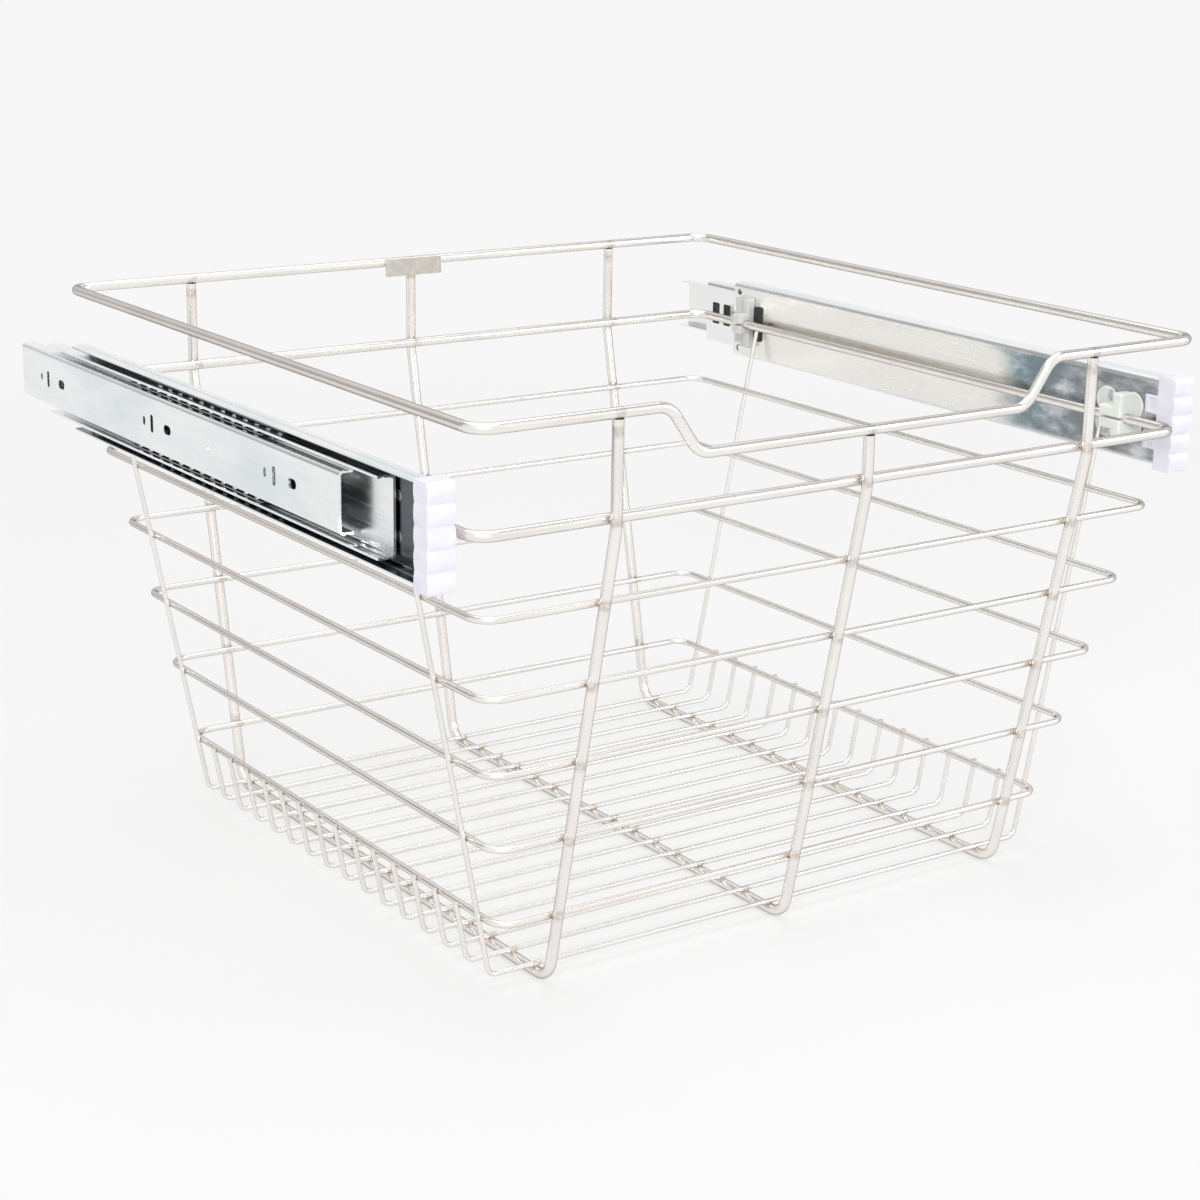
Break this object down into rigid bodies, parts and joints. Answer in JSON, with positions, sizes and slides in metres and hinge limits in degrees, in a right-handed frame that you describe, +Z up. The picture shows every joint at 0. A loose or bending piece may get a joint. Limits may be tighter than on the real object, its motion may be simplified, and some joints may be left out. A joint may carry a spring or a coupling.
{
  "type": "pull out cabinet basket",
  "caption": "Welded wire basket with a dipped hand-hold in its rim, hung between two full-extension ball-bearing slides that screw to the sides of a cabinet.",
  "frame": {"origin": "on the floor under the middle of the object's outline, with the basket pulled out 62 mm", "axes": "+X to the right seen from the front, +Y to the rear (the basket pulls out along -Y), +Z up"},
  "size_m": [0.446, 0.4381, 0.2794],
  "materials": {
    "basket_wire": "satin nickel plate",
    "badge_metal": "satin, bare",
    "slide_steel": "bright zinc plate",
    "cage_steel": "zinc, lightly greased",
    "ball_steel": "polished",
    "stop_plastic": "matte black",
    "cap_plastic": "moulded, semi-gloss white",
    "front_clip_plastic": "moulded, milky",
    "rear_clip_plastic": "moulded, pale grey",
    "rivet_steel": "zinc plate"
  },
  "bodies": {
    "cabinet_members": {"left_cabinet_member": "slide_steel", "right_cabinet_member": "slide_steel"},
    "basket": {"top_rim": "basket_wire", "slide_ring": "basket_wire", "side_ring_1": "basket_wire", "side_ring_2": "basket_wire", "side_ring_3": "basket_wire", "side_ring_4": "basket_wire", "side_ring_5": "basket_wire", "left_hoop": "basket_wire", "middle_hoop": "basket_wire", "right_hoop": "basket_wire", "floor_wire_01": "basket_wire", "floor_wire_02": "basket_wire", "floor_wire_03": "basket_wire", "floor_wire_04": "basket_wire", "floor_wire_05": "basket_wire", "floor_wire_06": "basket_wire", "floor_wire_07": "basket_wire", "floor_wire_08": "basket_wire", "floor_wire_09": "basket_wire", "floor_wire_10": "basket_wire", "floor_wire_11": "basket_wire", "floor_wire_12": "basket_wire", "floor_wire_13": "basket_wire", "floor_wire_14": "basket_wire", "floor_wire_15": "basket_wire", "floor_wire_16": "basket_wire", "badge_plate": "badge_metal", "left_channel": "slide_steel", "left_end_cap": "cap_plastic", "left_front_clip": "front_clip_plastic", "left_rear_clip": "rear_clip_plastic", "left_rear_latch": "stop_plastic", "left_clip_rivets": "rivet_steel", "right_channel": "slide_steel", "right_end_cap": "cap_plastic", "right_front_clip": "front_clip_plastic", "right_rear_clip": "rear_clip_plastic", "right_rear_latch": "stop_plastic", "right_clip_rivets": "rivet_steel"},
    "left_middle_member": {"left_middle_member": "slide_steel", "left_middle_stop": "stop_plastic"},
    "left_inner_ball_cage": {"left_inner_ball_cage": "cage_steel", "left_inner_balls": "ball_steel"},
    "left_outer_ball_cage": {"left_outer_ball_cage": "cage_steel", "left_outer_balls": "ball_steel"},
    "right_middle_member": {"right_middle_member": "slide_steel", "right_middle_stop": "stop_plastic"},
    "right_inner_ball_cage": {"right_inner_ball_cage": "cage_steel", "right_inner_balls": "ball_steel"},
    "right_outer_ball_cage": {"right_outer_ball_cage": "cage_steel", "right_outer_balls": "ball_steel"}
  },
  "joints": [
    {"name": "basket_slide", "type": "slide", "parent": "cabinet_members", "child": "basket", "axis": [0, -1, 0], "range_m": [-0.054, 0.296]},
    {"name": "left_middle_member_slide", "type": "slide", "parent": "cabinet_members", "child": "left_middle_member", "axis": [0, -1, 0], "range_m": [-0.0271, 0.1481]},
    {"name": "left_inner_ball_cage_slide", "type": "slide", "parent": "cabinet_members", "child": "left_inner_ball_cage", "axis": [0, -1, 0], "range_m": [-0.0136, 0.0741]},
    {"name": "left_outer_ball_cage_slide", "type": "slide", "parent": "cabinet_members", "child": "left_outer_ball_cage", "axis": [0, -1, 0], "range_m": [-0.0406, 0.2221]},
    {"name": "right_middle_member_slide", "type": "slide", "parent": "cabinet_members", "child": "right_middle_member", "axis": [0, -1, 0], "range_m": [-0.0271, 0.1481]},
    {"name": "right_inner_ball_cage_slide", "type": "slide", "parent": "cabinet_members", "child": "right_inner_ball_cage", "axis": [0, -1, 0], "range_m": [-0.0136, 0.0741]},
    {"name": "right_outer_ball_cage_slide", "type": "slide", "parent": "cabinet_members", "child": "right_outer_ball_cage", "axis": [0, -1, 0], "range_m": [-0.0406, 0.2221]}
  ],
  "couplings": [
    {"joint": "left_middle_member_slide", "follows": "basket_slide", "ratio": 0.5},
    {"joint": "left_inner_ball_cage_slide", "follows": "basket_slide", "ratio": 0.25},
    {"joint": "left_outer_ball_cage_slide", "follows": "basket_slide", "ratio": 0.75},
    {"joint": "right_middle_member_slide", "follows": "basket_slide", "ratio": 0.5},
    {"joint": "right_inner_ball_cage_slide", "follows": "basket_slide", "ratio": 0.25},
    {"joint": "right_outer_ball_cage_slide", "follows": "basket_slide", "ratio": 0.75}
  ]
}
